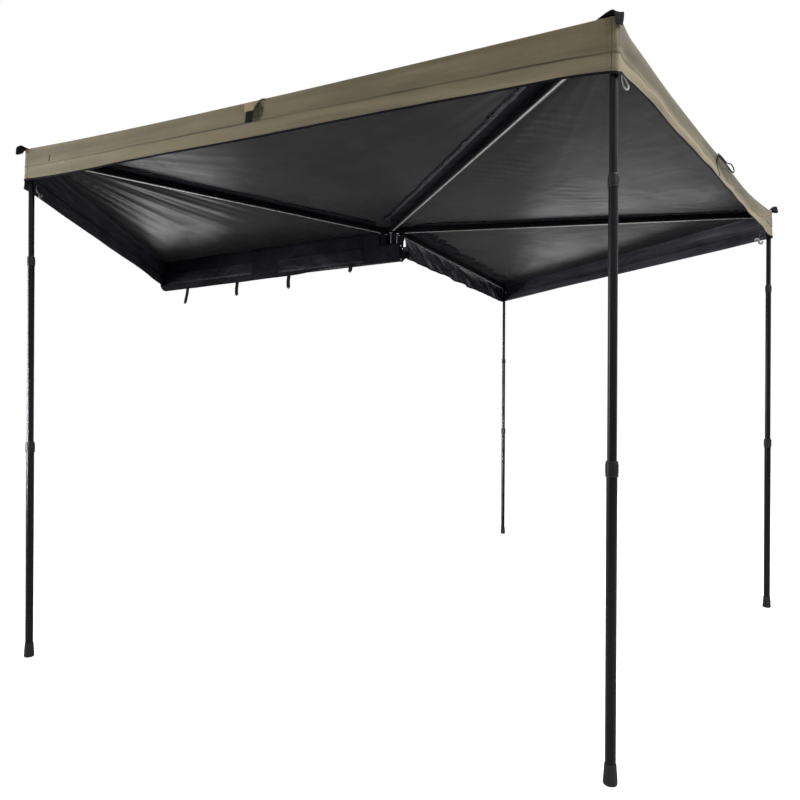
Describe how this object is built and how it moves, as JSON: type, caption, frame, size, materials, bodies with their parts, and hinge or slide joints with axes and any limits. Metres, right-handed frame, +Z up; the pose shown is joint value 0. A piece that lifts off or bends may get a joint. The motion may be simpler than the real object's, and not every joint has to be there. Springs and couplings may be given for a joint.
{
  "type": "vehicle side awning",
  "caption": "Fan-shaped vehicle side awning, opened out on telescopic poles, with hinged arms, a wall rail, rack brackets, a hanging valance and an open travel bag.",
  "frame": {"origin": "Middle of the seat face under the rear rack bracket's shelf, where it lies on the rack's bar.", "axes": "+Z up; the rail runs along X with its hub end towards +X; the vehicle stands on the +Y side of the rail, and the last arm points along +Y."},
  "size_m": [4.1515, 3.9468, 2.2723],
  "materials": {
    "black_aluminium": "black powder coat, satin",
    "cast_black": "die cast, black coated",
    "coated_steel": "black powder coat",
    "zinc_steel": "zinc plated",
    "black_nylon": "moulded, fine texture",
    "black_rubber": "moulded, matt",
    "canopy_canvas": "khaki ripstop outside, dark coating inside",
    "black_fabric": "black coated cloth",
    "webbing": "black woven webbing"
  },
  "bodies": {
    "rail": {"back_rail": "black_aluminium", "hub_bracket": "coated_steel", "rail_end_plate": "coated_steel", "end_bolt_upper": "zinc_steel", "end_bolt_lower": "zinc_steel", "rack_bracket_rear": "coated_steel", "rack_bracket_front": "coated_steel", "travel_bag": "black_fabric", "hub_pin_b": "zinc_steel"},
    "arm_b_body": {"knuckle_b": "cast_black", "arm_b": "black_aluminium", "arm_tip_b": "cast_black", "pole_b_pivot_pin": "zinc_steel", "canopy_panel_1": "canopy_canvas", "hub_pin_c": "zinc_steel", "corner_tab_b": "webbing"},
    "top_section_b": {"pole_b_top_tube": "black_aluminium"},
    "middle_section_b": {"pole_b_middle_tube": "black_aluminium"},
    "lower_section_b": {"pole_b_lower_tube": "black_aluminium", "pole_b_foot": "black_rubber"},
    "upper_lock_b": {"pole_b_upper_collar": "black_nylon"},
    "lower_lock_b": {"pole_b_lower_collar": "black_nylon"},
    "arm_c_body": {"knuckle_c": "cast_black", "arm_c": "black_aluminium", "arm_tip_c": "cast_black", "pole_c_pivot_pin": "zinc_steel", "canopy_panel_2": "canopy_canvas", "hub_pin_d": "zinc_steel", "corner_tab_c": "webbing"},
    "top_section_c": {"pole_c_top_tube": "black_aluminium"},
    "middle_section_c": {"pole_c_middle_tube": "black_aluminium"},
    "lower_section_c": {"pole_c_lower_tube": "black_aluminium", "pole_c_foot": "black_rubber"},
    "upper_lock_c": {"pole_c_upper_collar": "black_nylon"},
    "lower_lock_c": {"pole_c_lower_collar": "black_nylon"},
    "arm_d_body": {"knuckle_d": "cast_black", "arm_d": "black_aluminium", "arm_tip_d": "cast_black", "pole_d_pivot_pin": "zinc_steel", "canopy_panel_3": "canopy_canvas", "hub_pin_e": "zinc_steel", "corner_tab_d": "webbing"},
    "top_section_d": {"pole_d_top_tube": "black_aluminium"},
    "middle_section_d": {"pole_d_middle_tube": "black_aluminium"},
    "lower_section_d": {"pole_d_lower_tube": "black_aluminium", "pole_d_foot": "black_rubber"},
    "upper_lock_d": {"pole_d_upper_collar": "black_nylon"},
    "lower_lock_d": {"pole_d_lower_collar": "black_nylon"},
    "arm_e_body": {"knuckle_e": "cast_black", "arm_e": "black_aluminium", "arm_tip_e": "cast_black", "pole_e_pivot_pin": "zinc_steel", "canopy_panel_4": "canopy_canvas", "rear_skirt": "black_fabric"},
    "top_section_e": {"pole_e_top_tube": "black_aluminium"},
    "middle_section_e": {"pole_e_middle_tube": "black_aluminium"},
    "lower_section_e": {"pole_e_lower_tube": "black_aluminium", "pole_e_foot": "black_rubber"},
    "upper_lock_e": {"pole_e_upper_collar": "black_nylon"},
    "lower_lock_e": {"pole_e_lower_collar": "black_nylon"}
  },
  "joints": [
    {"name": "arm_b_swing", "type": "hinge", "parent": "rail", "child": "arm_b_body", "pos_m": [0.13, -0.1013, 0.1227], "axis": [0, 0, 1], "range_deg": [-65.5, 0], "deforming": ["canopy_panel_1", "canopy_panel_2", "canopy_panel_3", "canopy_panel_4"]},
    {"name": "pole_b_fold", "type": "hinge", "parent": "arm_b_body", "child": "top_section_b", "pos_m": [-0.67865, -1.87572, 0.0942], "axis": [-0.91, 0.4147, 0], "range_deg": [-90, 0]},
    {"name": "pole_b_middle_slide", "type": "slide", "parent": "top_section_b", "child": "middle_section_b", "axis": [0, 0, -1], "range_m": [-0.355, 0.445], "deforming": ["canopy_panel_1", "canopy_panel_2", "canopy_panel_3", "canopy_panel_4"]},
    {"name": "pole_b_lower_slide", "type": "slide", "parent": "middle_section_b", "child": "lower_section_b", "axis": [0, 0, -1], "range_m": [-0.778, 0.049], "deforming": ["canopy_panel_1", "canopy_panel_2", "canopy_panel_3", "canopy_panel_4"]},
    {"name": "pole_b_upper_lock_twist", "type": "hinge", "parent": "middle_section_b", "child": "upper_lock_b", "pos_m": [-0.67865, -1.87572, -0.3268], "axis": [0, 0, 1], "range_deg": [0, 90]},
    {"name": "pole_b_lower_lock_twist", "type": "hinge", "parent": "lower_section_b", "child": "lower_lock_b", "pos_m": [-0.67865, -1.87572, -1.1508], "axis": [0, 0, 1], "range_deg": [0, 90]},
    {"name": "arm_c_swing", "type": "hinge", "parent": "arm_b_body", "child": "arm_c_body", "pos_m": [0.17095, -0.11996, 0.1227], "axis": [0, 0, 1], "range_deg": [-70.5, 0], "deforming": ["canopy_panel_1", "canopy_panel_2", "canopy_panel_3", "canopy_panel_4"]},
    {"name": "pole_c_fold", "type": "hinge", "parent": "arm_c_body", "child": "top_section_c", "pos_m": [1.77364, -1.66766, 0.0942], "axis": [-0.6947, -0.7193, 0], "range_deg": [-90, 0]},
    {"name": "pole_c_middle_slide", "type": "slide", "parent": "top_section_c", "child": "middle_section_c", "axis": [0, 0, -1], "range_m": [-0.331, 0.469], "deforming": ["canopy_panel_1", "canopy_panel_2", "canopy_panel_3", "canopy_panel_4"]},
    {"name": "pole_c_lower_slide", "type": "slide", "parent": "middle_section_c", "child": "lower_section_c", "axis": [0, 0, -1], "range_m": [-0.802, 0.025], "deforming": ["canopy_panel_1", "canopy_panel_2", "canopy_panel_3", "canopy_panel_4"]},
    {"name": "pole_c_upper_lock_twist", "type": "hinge", "parent": "middle_section_c", "child": "upper_lock_c", "pos_m": [1.77364, -1.66766, -0.3028], "axis": [0, 0, 1], "range_deg": [0, 90]},
    {"name": "pole_c_lower_lock_twist", "type": "hinge", "parent": "lower_section_c", "child": "lower_lock_c", "pos_m": [1.77364, -1.66766, -1.1508], "axis": [0, 0, 1], "range_deg": [0, 90]},
    {"name": "arm_d_swing", "type": "hinge", "parent": "arm_c_body", "child": "arm_d_body", "pos_m": [0.20221, -0.08759, 0.1227], "axis": [0, 0, 1], "range_deg": [-62, 0], "deforming": ["canopy_panel_1", "canopy_panel_2", "canopy_panel_3", "canopy_panel_4"]},
    {"name": "pole_d_fold", "type": "hinge", "parent": "arm_d_body", "child": "top_section_d", "pos_m": [2.22986, 0.57123, 0.0942], "axis": [0.309, -0.9511, 0], "range_deg": [-90, 0]},
    {"name": "pole_d_middle_slide", "type": "slide", "parent": "top_section_d", "child": "middle_section_d", "axis": [0, 0, -1], "range_m": [-0.306, 0.494], "deforming": ["canopy_panel_1", "canopy_panel_2", "canopy_panel_3", "canopy_panel_4"]},
    {"name": "pole_d_lower_slide", "type": "slide", "parent": "middle_section_d", "child": "lower_section_d", "axis": [0, 0, -1], "range_m": [-0.827, 0], "deforming": ["canopy_panel_1", "canopy_panel_2", "canopy_panel_3", "canopy_panel_4"]},
    {"name": "pole_d_upper_lock_twist", "type": "hinge", "parent": "middle_section_d", "child": "upper_lock_d", "pos_m": [2.22986, 0.57123, -0.2778], "axis": [0, 0, 1], "range_deg": [0, 90]},
    {"name": "pole_d_lower_lock_twist", "type": "hinge", "parent": "lower_section_d", "child": "lower_lock_d", "pos_m": [2.22986, 0.57123, -1.1508], "axis": [0, 0, 1], "range_deg": [0, 90]},
    {"name": "arm_e_swing", "type": "hinge", "parent": "arm_d_body", "child": "arm_e_body", "pos_m": [0.1883, -0.04479, 0.1227], "axis": [0, 0, 1], "range_deg": [-72, 0], "deforming": ["canopy_panel_1", "canopy_panel_2", "canopy_panel_3", "canopy_panel_4"]},
    {"name": "pole_e_fold", "type": "hinge", "parent": "arm_e_body", "child": "top_section_e", "pos_m": [0.1883, 1.97021, 0.0942], "axis": [1, 0, 0], "range_deg": [-90, 0]},
    {"name": "pole_e_middle_slide", "type": "slide", "parent": "top_section_e", "child": "middle_section_e", "axis": [0, 0, -1], "range_m": [-0.548, 0.252], "deforming": ["canopy_panel_1", "canopy_panel_2", "canopy_panel_3", "canopy_panel_4"]},
    {"name": "pole_e_lower_slide", "type": "slide", "parent": "middle_section_e", "child": "lower_section_e", "axis": [0, 0, -1], "range_m": [-0.585, 0.242], "deforming": ["canopy_panel_1", "canopy_panel_2", "canopy_panel_3", "canopy_panel_4"]},
    {"name": "pole_e_upper_lock_twist", "type": "hinge", "parent": "middle_section_e", "child": "upper_lock_e", "pos_m": [0.1883, 1.97021, -0.5198], "axis": [0, 0, 1], "range_deg": [0, 90]},
    {"name": "pole_e_lower_lock_twist", "type": "hinge", "parent": "lower_section_e", "child": "lower_lock_e", "pos_m": [0.1883, 1.97021, -1.1508], "axis": [0, 0, 1], "range_deg": [0, 90]}
  ]
}
